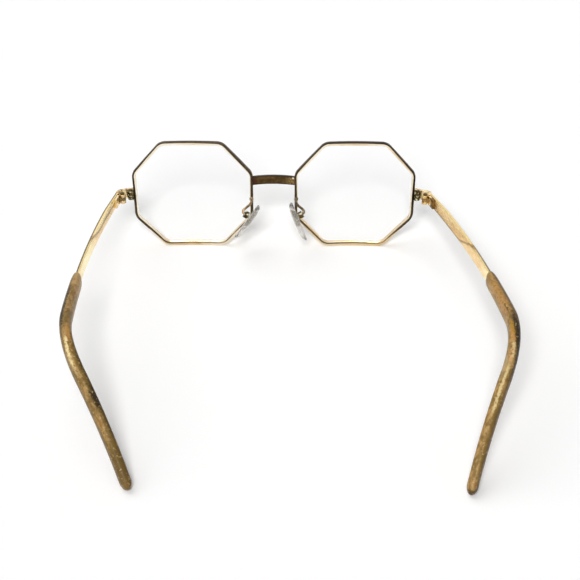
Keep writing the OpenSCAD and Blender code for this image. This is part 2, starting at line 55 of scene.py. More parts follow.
# ---------------------------------------------------------------- sizes, as in the part's source
RIM_W, RIM_H = 47.9, 45.3
RIM_TOP_SIDE, RIM_UPRIGHT_SIDE = 24.5, 19.2
RIM_UPPER_R, RIM_LOWER_R = 4.7, 6.2
RIM_T, RIM_DEPTH = 1.3, 2.1
BASE_R = 110.0
NOSE_GAP = 16.6
GROOVE_W, GROOVE_DEPTH = 0.7, 0.5
LOCK_GAP = 0.16
RIM_CX = NOSE_GAP / 2 + RIM_W / 2
RIM_MID_R = (RIM_W - RIM_T) / 2
SPHERE_Y = -math.sqrt(BASE_R ** 2 - RIM_MID_R ** 2)

# Distance round the rim wire's section from its front outer edge to the start of each face
BACK_AT = RIM_DEPTH
INSIDE_AT = BACK_AT + RIM_T
FRONT_AT = INSIDE_AT + RIM_DEPTH
FULL_ROUND = FRONT_AT + RIM_T

BRIDGE_H, BRIDGE_T, BRIDGE_Z, BRIDGE_RISE, BRIDGE_ROUND = 3.6, 1.3, 6.1, 0.55, 0.22

HINGE_X = RIM_CX + RIM_W / 2 + 4.0
HINGE_BACK, HINGE_Z = 3.6, -0.2
FLARE = 6.5
OPENED = {LEFT: 0.0, RIGHT: 9.0}
OVER_OPEN = 10.0
HINGE_OFFSET, STRAP_T = 1.7, 1.2
STRAP_MID = HINGE_OFFSET + STRAP_T / 2

TEMPLE_L = 150.0
LINE_STEP = 0.5
BAR_T, BAR_SQUARENESS, BAR_FIT = 1.2, 5, 0.985
CORE_END = 142.0
CORE_CLEARANCE = 0.04
BUTT = (0.15 + HINGE_OFFSET * math.sin(math.radians(OVER_OPEN))) / math.cos(math.radians(OVER_OPEN))
BAR_START = BUTT + BAR_T / 2 * math.tan(math.radians(OVER_OPEN))
TEMPLE_TURN = [(0, 0), (10, 0), (87, -10), (112.5, -45.5), (150, -37)]
TEMPLE_FALL = [(0, 0), (10, 0), (20, 1), (87, 1), (112.5, 42)]
BAR_HEIGHT = [(0, 4.4), (16, 5.4), (63, 5.0), (142, 2)]
TIP_START, TIP_LIP, TIP_SWELL, TIP_ROUND = 63.0, 0.3, 4.0, 3.0
TIP_SIDES, TIP_SQUARENESS, TIP_FIT = 40, 2.6, 0.976
TIP_THICKNESS = [(63, 2.6), (64.4, 3.3), (67, 3.7), (87, 4.0), (112.5, 3.9), (150, 3.5)]
TIP_HEIGHT = [(63, 5.9), (64.4, 6.08), (67, 6.16), (87, 6.4), (112.5, 5.44), (150, 5.2)]

PAD_L, PAD_W, PAD_T, PAD_EDGE_T, PAD_FACE = 17.0, 7.6, 2.2, 0.9, 1.0
PAD_X, PAD_BACK, PAD_DROP, PAD_HANG = NOSE_GAP / 2 + 2.2, 8.2, 5.2, 2.2
PAD_TILT, PAD_SPLAY = 27.0, 15.0
PAD_END_ANGLE, PAD_OVAL, PAD_DOME, PAD_RIM_SHARE = 84, 0.8, 0.7, 0.35
PAD_ROCK = {LEFT: 7.0, RIGHT: -7.0}
ARM_D = 1.0
BEAD_R, BEAD_L = 0.85, 0.9


# ---------------------------------------------------------------- frames
def glasses_matrix():
    """The glasses' frame on the table, read from the two temple joints."""
    joints = {j["name"]: j for j in frame["joints"]}
    left = Vector(joints["left_temple_fold"]["pos_m"]) / MM
    right = Vector(joints["right_temple_fold"]["pos_m"]) / MM
    up = Vector(joints["left_temple_fold"]["axis"])
    tilt = math.atan2(-up.y, up.z)
    middle = (left + right) / 2
    hinge_middle = Vector((0, -HINGE_BACK, HINGE_Z))
    return Matrix.Translation(middle) @ Matrix.Rotation(tilt, 4, "X") @ Matrix.Translation(-hinge_middle)


GLASSES = glasses_matrix()


def place(side, p):
    """A point of the glasses' frame, mirrored for the left side, in metres on the table."""
    return (GLASSES @ Vector((side * p[0], p[1], p[2]))) * MM


def turn(degrees, axis):
    return Matrix.Rotation(math.radians(degrees), 4, axis)


def hinge_matrix(side):
    corner = Matrix.Translation((HINGE_X, -HINGE_BACK, HINGE_Z))
    return corner @ turn(FLARE + OPENED[side], "Z")


def pad_matrix(rock=0.0):
    corner = Matrix.Translation((PAD_X, -PAD_BACK, -PAD_DROP))
    return corner @ turn(-PAD_TILT, "Y") @ turn(PAD_SPLAY, "Z") @ turn(-rock, "Y")


# ---------------------------------------------------------------- small helpers
def lookup(s, table):
    """Straight-line interpolation in a table of (place, value)."""
    if s <= table[0][0]:
        return table[0][1]
    for (a, va), (b, vb) in zip(table, table[1:]):
        if s <= b:
            return va + (vb - va) * (s - a) / (b - a)
    return table[-1][1]


def smooth(x, low, high):
    """0 below low, 1 above high, smooth in between."""
    t = min(1.0, max(0.0, (x - low) / (high - low)))
    return t * t * (3 - 2 * t)


def signed_root(c, power):
    return math.copysign(abs(c) ** power, c)


def oblong(t, h, count, squareness):
    """Points (x, z) round a superellipse of thickness t and height h."""
    points = []
    for i in range(count):
        a = 2 * math.pi * (i + 0.5) / count
        x = t / 2 * signed_root(math.cos(a), 2 / squareness)
        z = h / 2 * signed_root(math.sin(a), 2 / squareness)
        points.append((x, z))
    return points


def bezier(points, t):
    """The point at t, from 0 to 1, of the smooth curve that points guide."""
    points = [Vector(p) for p in points]
    while len(points) > 1:
        points = [a.lerp(b, t) for a, b in zip(points, points[1:])]
    return points[0]


def add_rings(vertices, faces, rings):
    """Adds one closed tube through rings of equal length, with a cap at each end."""
    first, n, m = len(vertices), len(rings[0]), len(rings)
    for ring in rings:
        vertices.extend(ring)
    for k in range(m - 1):
        for i in range(n):
            j = (i + 1) % n
            a, b = first + k * n, first + (k + 1) * n
            faces.append((a + i, b + i, b + j, a + j))
    faces.append(tuple(first + i for i in range(n)))
    faces.append(tuple(first + (m - 1) * n + i for i in reversed(range(n))))


def mesh_object(name, vertices, faces, values=None, sharp=40.0):
    """A smooth-shaded object with outward faces; values holds per-point floats by attribute name."""
    mesh = bpy.data.meshes.new(name)
    mesh.from_pydata([tuple(v) for v in vertices], [], faces)
    bm = bmesh.new()
    bm.from_mesh(mesh)
    bmesh.ops.recalc_face_normals(bm, faces=bm.faces)
    bm.to_mesh(mesh)
    bm.free()
    mesh.polygons.foreach_set("use_smooth", [True] * len(mesh.polygons))
    mesh.set_sharp_from_angle(angle=math.radians(sharp))
    for key, numbers in (values or {}).items():
        mesh.attributes.new(key, "FLOAT", "POINT").data.foreach_set("value", numbers)
    obj = bpy.data.objects.new(name, mesh)
    bpy.context.scene.collection.objects.link(obj)
    return obj


# ---------------------------------------------------------------- rims
def corner_arc(a, p, b, steps):
    """Arc at corner p as (point, outward normal) pairs."""
    r = RIM_UPPER_R if p.y > 0 else RIM_LOWER_R
    u, v = (a - p).normalized(), (b - p).normalized()
    half = math.acos(u.dot(v)) / 2
    centre = p + (u + v).normalized() * r / math.sin(half)
    start = math.atan2(u.x, -u.y)
    sweep = (math.pi - 2 * half) / steps
    arc = []
    for i in range(steps + 1):
        n = Vector((math.cos(start + sweep * i), math.sin(start + sweep * i)))
        arc.append((centre + r * n, n))
    return arc


def rim_corners():
    w, h = RIM_W / 2, RIM_H / 2
    t, s = RIM_TOP_SIDE / 2, RIM_UPRIGHT_SIDE / 2
    signs = [(w, s), (t, h), (-t, h), (-w, s), (-w, -s), (-t, -h), (t, -h), (w, -s)]
    return [Vector(p) for p in signs]


def rim_stations(corner_steps=8, bar_steps=12, end_steps=6, corner_share=0.2):
    """(point, normal, bar) round the rim, from above the saw cut to below it.

    bar is 0 in the middle of the outer upright, 2 at the top, 4 at the nose and 6 at the bottom.
    Each corner takes corner_share of it.
    """
    corners = rim_corners()
    n, straight_share = len(corners), 1 - corner_share
    half = straight_share / 2
    arcs = [corner_arc(corners[i - 1], corners[i], corners[(i + 1) % n], corner_steps)
            for i in range(n)]
    top = Vector((RIM_W / 2, HINGE_Z + LOCK_GAP / 2))
    bottom = Vector((RIM_W / 2, HINGE_Z - LOCK_GAP / 2))
    outward = Vector((1, 0))
    first, last = arcs[0][0][0], arcs[-1][-1][0]
    stations = [(top.lerp(first, i / end_steps), outward, half * i / end_steps)
                for i in range(end_steps)]
    for k, arc in enumerate(arcs):
        for i, (p, normal) in enumerate(arc):
            stations.append((p, normal, k + half + corner_share * i / corner_steps))
        if k < n - 1:
            (a, normal), (b, _) = arc[-1], arcs[k + 1][0]
            for i in range(1, bar_steps):
                t = i / bar_steps
                bar = k + half + corner_share + straight_share * t
                stations.append((a.lerp(b, t), normal, bar))
    for i in range(1, end_steps + 1):
        t = i / end_steps
        stations.append((last.lerp(bottom, t), outward, n - half + half * t))
    return stations


def rim_section():
    """Points (w, d, t) round the rim wire's section.

    w runs inward from the outside, d forward from the middle, and t is the distance along the
    surface from the front outer edge: over the outside, then the back, the inside and the front.
    """
    half, mouth = RIM_DEPTH / 2, GROOVE_W / 2
    outer_r, inner_r = 0.42, 0.16
    lip_r, lip_reach, groove_taper = 0.06, 0.08, 0.04
    inner, bottom = RIM_T - inner_r, RIM_T - GROOVE_DEPTH
    points = []

    def line(a, b, t_a, t_b, steps):
        for i in range(1, steps):
            k = i / steps
            start, end = (*a, t_a), (*b, t_b)
            points.append(tuple(u + (v - u) * k for u, v in zip(start, end)))

    def arc(centre, r, start, t_mid, steps):
        for i in range(steps + 1):
            a = math.radians(start + 90 * i / steps)
            at = t_mid - r + 2 * r * i / steps
            points.append((centre[0] + r * math.cos(a), centre[1] + r * math.sin(a), at))

    arc((outer_r, half - outer_r), outer_r, 90, 0.0, 5)
    line((0, half - outer_r), (0, -half + outer_r), outer_r, BACK_AT - outer_r, 5)
    arc((outer_r, -half + outer_r), outer_r, 180, BACK_AT, 6)
    line((outer_r, -half), (inner, -half), BACK_AT + outer_r, INSIDE_AT - inner_r, 5)
    arc((inner, -half + inner_r), inner_r, 270, INSIDE_AT, 3)
    for w, d in ((RIM_T, -mouth - lip_reach), (RIM_T - lip_r, -mouth),
                 (bottom, -mouth + groove_taper), (bottom, mouth - groove_taper),
                 (RIM_T - lip_r, mouth), (RIM_T, mouth + lip_reach)):
        points.append((w, d, INSIDE_AT + half + d))
    arc((inner, half - inner_r), inner_r, 0, FRONT_AT, 3)
    line((inner, half), (outer_r, half), FRONT_AT + inner_r, FULL_ROUND - outer_r, 4)
    return points


# Where the dark line runs round each rim, partly worn plate and partly a painted dark reflection:
# (bar, start, end, strength), with start and end as distances round the section; above a strength
# of 1 it turns near black
RIM_DARK = {
    LEFT: [(0, 0.4, 3.05, 1.2), (1, 0.6, 2.6, 1.0), (2, 0.2, 2.4, 1.15), (3, 0.2, 3.0, 1.0),
           (4, 0.4, 3.1, 1.0), (4.5, 2.3, 3.3, 0.8), (5, 2.9, 3.5, 0.62), (6, 3.05, 3.55, 0.66),
           (6.6, 2.7, 3.4, 0.9), (7, 2.45, 3.3, 0.9), (7.5, 1.2, 3.1, 1.0), (8, 0.4, 3.05, 1.2)],
    RIGHT: [(0, 0.4, 3.05, 1.35), (1, 0.4, 2.7, 1.05), (2, 0.2, 2.4, 1.4), (3, 0.3, 2.6, 1.0),
            (4, 0.4, 3.1, 0.9), (4.5, 2.3, 3.3, 0.75), (5, 2.6, 3.4, 0.68), (6, 3.05, 3.55, 0.8),
            (6.6, 2.9, 3.4, 0.6), (7, 2.45, 3.25, 0.8), (7.5, 1.2, 3.1, 1.0), (8, 0.4, 3.05, 1.35)],
}
# How gold rather than pale the inner faces look round each rim, the pale being a painted highlight:
# (bar, amount)
RIM_WARM = {
    LEFT: [(0, 0.15), (1, 0.3), (1.7, 0.1), (2, 0.5), (2.3, 0.1), (3, 0.1), (4, 0.3), (5, 0.55),
           (5.6, 0.4), (6, 1.0), (6.5, 0.75), (7, 0.35), (8, 0.15)],
    RIGHT: [(0, 0.3), (1, 0.75), (1.6, 0.3), (2, 0.8), (2.5, 0.3), (3, 0.35), (4, 0.35), (5, 0.9),
            (5.6, 0.7), (6, 1.0), (6.5, 0.9), (7, 0.7), (8, 0.3)],
}


def rim_dark_at(side, bar, t, fade=0.12):
    start, end, strength = (
        lookup(bar, [(row[0], row[column]) for row in RIM_DARK[side]]) for column in (1, 2, 3))
    return strength * smooth(t, start - fade, start + fade) * (1 - smooth(t, end - fade, end + fade))


def rim_point(side, p, n, w, d):
    """A point of the section at rim point p with normal n, on the frame's slight dome."""
    q = p - w * n
    y = SPHERE_Y + math.sqrt((BASE_R + d) ** 2 - q.length_squared)
    return place(side, (RIM_CX + q.x, y, q.y))


def build_rim(side):
    section, rings, dark, warm, around = rim_section(), [], [], [], []
    for p, n, bar in rim_stations():
        rings.append([rim_point(side, p, n, w, d) for w, d, _ in section])
        dark += [rim_dark_at(side, bar, t) for _, _, t in section]
        warm += [lookup(bar, RIM_WARM[side])] * len(section)
        around += [t for _, _, t in section]
    vertices, faces = [], []
    add_rings(vertices, faces, rings)
    values = {"dark": dark, "warm": warm, "around": around}
    return mesh_object(f"{SIDE_NAMES[side]}_rim_wire", vertices, faces, values, sharp=50)


# ---------------------------------------------------------------- bridge
def rim_edge_x(z):
    """How far from the middle the nose side of the rims stands at height z."""
    corners = rim_corners()
    arc = corner_arc(corners[2], corners[3], corners[4], steps=24)
    if z <= arc[-1][0].y:
        return NOSE_GAP / 2
    for (a, _), (b, _) in zip(arc, arc[1:]):
        if b.y <= z <= a.y:
            k = (z - a.y) / (b.y - a.y)
            return RIM_CX + a.x + (b.x - a.x) * k
    return RIM_CX + arc[0][0].x


def rounded_bar(t, h, r, steps=4, flats=4):
    """Rectangle t by h with rounded corners, as (y, z) points."""
    points = []
    for cx, cz, start in ((t, h, 0), (-t, h, 90), (-t, -h, 180), (t, -h, 270)):
        sx, sz = math.copysign(t / 2 - r, cx), math.copysign(h / 2 - r, cz)
        for i in range(steps + 1):
            a = math.radians(start + 90 * i / steps)
            points.append((sx + r * math.cos(a), sz + r * math.sin(a)))
        if cx * cz < 0:
            continue
        for i in range(1, flats):
            k = 1 - 2 * i / flats
            points.append((sx * k, sz + math.copysign(r, cz)))
    return points


def build_bridge(steps=48):
    """The strap between the rims, bowed up in the middle and cut to the rims at its ends."""
    section = rounded_bar(BRIDGE_T, BRIDGE_H, BRIDGE_ROUND)
    rings, along, height = [], [], []
    for i in range(steps + 1):
        u = -1 + 2 * i / steps
        ring = []
        for y, dz in section:
            z = BRIDGE_Z + dz + BRIDGE_RISE * (1 - u * u)
            x = u * rim_edge_x(z)
            ring.append(place(RIGHT, (x, y, z)))
            along.append(x)
            height.append(2 * dz / BRIDGE_H)
        rings.append(ring)
    vertices, faces = [], []
    add_rings(vertices, faces, rings)
    return mesh_object("bridge_strap", vertices, faces, {"along": along, "height": height}, sharp=50)


# ---------------------------------------------------------------- temples and tips
def heading(s):
    """The direction of the temple's centre line at distance s from the hinge."""
    a, e = math.radians(lookup(s, TEMPLE_TURN)), math.radians(lookup(s, TEMPLE_FALL))
    return Vector((math.sin(a) * math.cos(e), -math.cos(a) * math.cos(e), -math.sin(e)))


def temple_line():
    """The temple's centre line in its hinge frame, a point every LINE_STEP."""
    points = [Vector((STRAP_MID, 0, 0))]
    for i in range(int(TEMPLE_L / LINE_STEP)):
        points.append(points[-1] + LINE_STEP * heading((i + 0.5) * LINE_STEP))
    return points


TEMPLE_LINE = temple_line()


def line_at(s):
    i = min(int(s / LINE_STEP), len(TEMPLE_LINE) - 1)
    return TEMPLE_LINE[i] + (s - i * LINE_STEP) * heading((s + i * LINE_STEP) / 2)


def temple_ring(side, s, section, skew=0.0):
    """The section's points across the centre line at s, slanted by skew degrees along it."""
    d = heading(s)
    a = math.radians(lookup(s, TEMPLE_TURN))
    across = Vector((math.cos(a), math.sin(a), 0))
    up = d.cross(across)
    centre, hinge = line_at(s), hinge_matrix(side)
    slope = math.tan(math.radians(skew))
    ring = []
    for x, z in section:
        p = centre + x * across + z * up + (x * slope) * d
        ring.append(place(side, hinge @ p))
    return ring


def build_temple(side, steps=110, sides=40):
    """The flat bar and the core wire that runs on inside the plastic tip."""
    rings, along, height, depth = [], [], [], []
    for k in range(steps + 1):
        s = BAR_START + (CORE_END - BAR_START) * k / steps
        h = lookup(s, BAR_HEIGHT)
        section = oblong(BAR_T * BAR_FIT, h * BAR_FIT, sides, BAR_SQUARENESS)
        rings.append(temple_ring(side, s, section, OVER_OPEN if k == 0 else 0))
        along += [s] * sides
        height += [2 * z / h for _, z in section]
        depth += [2 * x / BAR_T for x, _ in section]
    vertices, faces = [], []
    add_rings(vertices, faces, rings)
    values = {"along": along, "height": height, "depth": depth}
    return mesh_object(f"{SIDE_NAMES[side]}_temple_bar", vertices, faces, values, sharp=50)


def tip_outline(s, k=1.0):
    k *= TIP_FIT
    t, h = lookup(s, TIP_THICKNESS) * k, lookup(s, TIP_HEIGHT) * k
    return oblong(t, h, TIP_SIDES, TIP_SQUARENESS)


def cavity_outline(s):
    t, h = BAR_T + 2 * CORE_CLEARANCE, lookup(s, BAR_HEIGHT) + 2 * CORE_CLEARANCE
    return oblong(t, h, TIP_SIDES, BAR_SQUARENESS)


def spread(start, end, steps):
    """Evenly spaced places from start to end, both included."""
    return [start + (end - start) * i / steps for i in range(steps + 1)]


def tip_sections():
    """(place, section) pairs: up the cavity, round the mouth, and down the outside."""
    sections = [(s, cavity_outline(s)) for s in spread(CORE_END + CORE_CLEARANCE, TIP_START, 40)]
    mouth_k, mouth_power = 0.9, 0.8
    for a in (0, 25, 50, 70, 90):
        k = mouth_k + (1 - mouth_k) * math.sin(math.radians(a)) ** mouth_power
        s = TIP_START + TIP_LIP * (1 - math.cos(math.radians(a)))
        sections.append((s, tip_outline(s, k)))
    swell_end, body_end = TIP_START + TIP_SWELL, TEMPLE_L - TIP_ROUND
    for s in spread(TIP_START + TIP_LIP, swell_end, 12)[1:] + spread(swell_end + 0.5, body_end, 120):
        sections.append((s, tip_outline(s)))
    for a in (12, 25, 37, 48, 58, 67, 75, 82, 87):
        s = body_end + TIP_ROUND * math.sin(math.radians(a))
        sections.append((s, tip_outline(TEMPLE_L, math.cos(math.radians(a)))))
    return sections


# The side of a sleeve that the camera sees, in degrees round its section: up to the bend, past it
BEND = (88, 110)
SEEN_BEFORE, SEEN_AFTER = 135, 75


def build_tip(side):
    """The plastic sleeve, hollow where the core wire runs."""
    rings, along, height, depth, around = [], [], [], [], []
    for s, section in tip_sections():
        rings.append(temple_ring(side, s, section))
        h, t = lookup(s, TIP_HEIGHT), lookup(s, TIP_THICKNESS)
        along += [s] * len(section)
        height += [2 * z / h for _, z in section]
        depth += [2 * x / t for x, _ in section]
        seen = math.radians(SEEN_BEFORE + (SEEN_AFTER - SEEN_BEFORE) * smooth(s, *BEND))
        around += [math.sin(math.atan2(z / h, x / t) - seen) for x, z in section]
    vertices, faces = [], []
    add_rings(vertices, faces, rings)
    values = {"along": along, "height": height, "depth": depth, "around": around}
    return mesh_object(f"{SIDE_NAMES[side]}_tip_sleeve", vertices, faces, values, sharp=60)


# ---------------------------------------------------------------- pads and their arms
def build_pad(side, sides=32, steps=36):
    """An oval pad, nearly flat towards its box and domed towards the nose."""
    matrix = pad_matrix(PAD_ROCK[side])
    rings = []
    for k in range(steps + 1):
        a = math.radians(PAD_END_ANGLE * (2 * k / steps - 1))
        full = math.cos(a) ** PAD_OVAL
        thick = PAD_EDGE_T + (PAD_T - PAD_EDGE_T) * math.cos(a) ** PAD_DOME
        t = thick * min(1, PAD_RIM_SHARE + full)
        ring = []
        for i in range(sides):
            b = 2 * math.pi * (i + 0.5) / sides
            x = signed_root(math.cos(b), 0.9)
            if x > 0:
                depth = PAD_EDGE_T / 2 * (1 - x)
            else:
                depth = PAD_EDGE_T / 2 - (t - PAD_EDGE_T / 2) * x
            y = PAD_W / 2 * full * signed_root(math.sin(b), PAD_OVAL)
            z = PAD_L / 2 * math.sin(a) - PAD_HANG
            ring.append(place(side, matrix @ Vector((-PAD_FACE - depth, y, z))))
        rings.append(ring)
    vertices, faces = [], []
    add_rings(vertices, faces, rings)
    return mesh_object(f"{SIDE_NAMES[side]}_pad_body", vertices, faces, sharp=60)


def rim_back_y(x, z):
    """y of the rim's back face at x and z from the rim's middle."""
    r = BASE_R - RIM_DEPTH / 2
    return SPHERE_Y + math.sqrt(r * r - x * x - z * z)


def arm_guide():
    """The points that guide the arm's curve, from the back of the rim to the pad's box."""
    x, z = NOSE_GAP / 2 + RIM_T / 2, -1.4
    y = rim_back_y(RIM_MID_R, z) - BEAD_L + 0.2
    matrix = pad_matrix()
    near_rim = [(x, y, z), (x - 0.2, y - 2.4, z - 0.4), (x + 0.2, y - 4.6, z - 1.2)]
    near_box = [(2.8, 0.8, 1.8), (2.8, 0, 0), (1.22, 0, 0)]
    return [Vector(p) for p in near_rim] + [matrix @ Vector(p) for p in near_box]


def arm_rings(side, guide, steps=64, sides=18):
    line = [bezier(guide, k / steps) for k in range(steps + 1)]
    never_along_it = Vector((0.2, 0.3, 1))
    rings = []
    for k, p in enumerate(line):
        if k == steps:
            d = (guide[-1] - guide[-2]).normalized()
        else:
            d = (line[k + 1] - line[max(k - 1, 0)]).normalized()
        u = never_along_it.cross(d).normalized()
        v = d.cross(u)
        r = ARM_D / 2
        rings.append([place(side, p + r * (math.cos(a) * u + math.sin(a) * v))
                      for a in (2 * math.pi * i / sides for i in range(sides))])
    return rings


# The solder bead's outline: how far back, and its radius as a share of BEAD_R
BEAD_PROFILE = [(0.0, 0.985), (0.3, 1.0), (0.48, 0.96), (0.63, 0.86), (0.75, 0.7), (0.84, 0.5),
                (0.89, 0.25)]


def bead_rings(side, guide, sides=24):
    """The rounded drop of solder that holds the arm to the back of the rim."""
    x, _, z = guide[0]
    foot = rim_back_y(RIM_MID_R, z)
    rings = []
    for back, k in BEAD_PROFILE:
        ring = []
        for i in range(sides):
            a = 2 * math.pi * i / sides
            qx, qz = x + BEAD_R * k * math.cos(a), z + BEAD_R * k * math.sin(a)
            y = rim_back_y(qx - RIM_CX, qz) if back == 0 else foot - back
            ring.append(place(side, (qx, y, qz)))
        rings.append(ring)
    return rings


def build_arm(side):
    guide = arm_guide()
    vertices, faces = [], []
    add_rings(vertices, faces, arm_rings(side, guide))
    add_rings(vertices, faces, bead_rings(side, guide))
    return mesh_object(f"{SIDE_NAMES[side]}_arm_wire", vertices, faces, sharp=60)


# ---------------------------------------------------------------- materials
# On a temple bar, by distance along it: where the brown line of painted dark reflection climbs and
# from and to which height, where it fades, where the dark outer edge of painted shade begins, and
# the middle and half length of the pale part, a painted highlight
LINE_CLIMB = {LEFT: (27.0, 41.0, 0.1, 1.0), RIGHT: (29.0, 47.0, -0.8, 1.0)}
LINE_END = {LEFT: (36.0, 44.0), RIGHT: (44.0, 50.0)}
EDGE_START = {LEFT: (-1.0, 0.0), RIGHT: (42.0, 50.0)}
HIGHLIGHT_ZONE = {LEFT: (49.0, 10.0), RIGHT: (64.0, 3.0)}

# Tones of the front hinge leaves, and zones of tone on the temple leaves: (distance from the pin's
# axis, half width, strength, tone)
HINGE_TONES = {LEFT: ((222, 196, 144), (186, 152, 100)), RIGHT: ((246, 220, 158), (216, 180, 114))}
HINGE_ZONES = {
    LEFT: [(0.0, 2.4, 0.9, (88, 68, 36)), (3.2, 0.5, 0.9, (246, 226, 172)),
           (5.5, 1.8, 0.8, (250, 226, 178))],
    RIGHT: [(0.0, 2.4, 0.9, (140, 104, 56)), (3.2, 0.5, 0.9, (246, 226, 172)),
            (5.5, 1.8, 0.85, (112, 84, 38))],
}
PALE_GOLD, TAN_GOLD = (240, 222, 178), (204, 172, 118)

# Marks on a sleeve: tone, strength, (place along, around), (half length, half width); around runs
# from -1 on the outer side to 1 on the inner side. Besides the marbling, some marks are painted
# highlights, and the marks along the edges are painted shade and reflection, partly dirt
DARK_BROWN, UMBER, OLIVE = (40, 32, 18), (84, 64, 32), (112, 90, 44)
GREY, CREAM, TAN, ROSE = (176, 158, 122), (240, 218, 160), (204, 168, 112), (206, 160, 112)
HONEY, OCHRE, RED_BROWN = (184, 136, 72), (168, 124, 40), (152, 104, 66)
TIP_MARKS = {
    LEFT: [
        (OLIVE, 0.7, (90, 0.0), (4, 1.2)),
        (HONEY, 0.7, (97, 0.1), (4, 0.5)),
        (RED_BROWN, 0.6, (72, 0.2), (4, 0.4)),
        (RED_BROWN, 0.5, (97, 0.6), (3, 0.2)),
        (OLIVE, 0.8, (122, 0.5), (22, 0.45)),
        # Darker towards the inner edge: painted shade, partly dirt
        (UMBER, 0.95, (122, 0.85), (27, 0.35)),
        (UMBER, 0.5, (98, 0.55), (4, 0.3)),
        (DARK_BROWN, 0.9, (120, 0.5), (3.5, 0.5)),
        # The two cream marks are painted highlights on the outer side of the bend
        (CREAM, 0.9, (102.5, -0.5), (4.5, 0.2)),
        (CREAM, 0.35, (108, -0.45), (4, 0.18)),
        (OLIVE, 0.8, (141, 0.0), (7, 1.2)),
        (UMBER, 0.5, (147, 0.0), (8, 1.2)),
        (TAN, 0.6, (68, 0.0), (5, 1.0)),
        # The last four marks lie along the edges: dark lines of painted shade and a grey band of painted
        # reflection, partly dirt
        (UMBER, 0.7, (70, -1.0), (8, 0.09)),
        (GREY, 0.8, (84, 0.95), (16, 0.2)),
        (DARK_BROWN, 0.95, (84, -0.97), (12, 0.13)),
        (OLIVE, 0.6, (124, -1.0), (26, 0.25)),
    ],
    RIGHT: [
        (HONEY, 0.6, (78, 0.0), (10, 0.7)),
        (OLIVE, 0.7, (96, -0.35), (8, 0.35)),
        (UMBER, 0.8, (85, -0.15), (3, 0.12)),
        (OCHRE, 0.9, (95, -0.1), (2, 0.3)),
        (HONEY, 0.8, (99, 0.0), (2, 0.4)),
        (CREAM, 0.6, (103, -0.1), (2, 0.2)),
        (ROSE, 0.7, (105, 0.1), (2, 0.25)),
        # A grey band of painted reflection at the inner edge, partly dirt, then a painted highlight
        (GREY, 0.6, (109, 0.75), (5, 0.25)),
        (CREAM, 0.55, (116, 0.15), (7, 0.2)),
        (OLIVE, 0.8, (130, -0.5), (16, 0.35)),
        # The next five marks lie along the edges: dark lines of painted shade and a grey band of painted
        # reflection, partly dirt
        (UMBER, 0.6, (126, -0.8), (24, 0.25)),
        (DARK_BROWN, 1.0, (100, -0.95), (12, 0.4)),
        (DARK_BROWN, 0.8, (97, -0.6), (6, 0.3)),
        (UMBER, 0.8, (76, -1.0), (16, 0.24)),
        (GREY, 0.6, (82, 1.0), (16, 0.15)),
        (DARK_BROWN, 0.8, (150, 0.0), (2.5, 1.2)),
    ],
}


def srgb(r, g, b):
    """A colour written as it looks on screen, from 0 to 255, as linear RGBA."""
    def linear(c):
        c /= 255
        return c / 12.92 if c <= 0.04045 else ((c + 0.055) / 1.055) ** 2.4
    return (linear(r), linear(g), linear(b), 1.0)


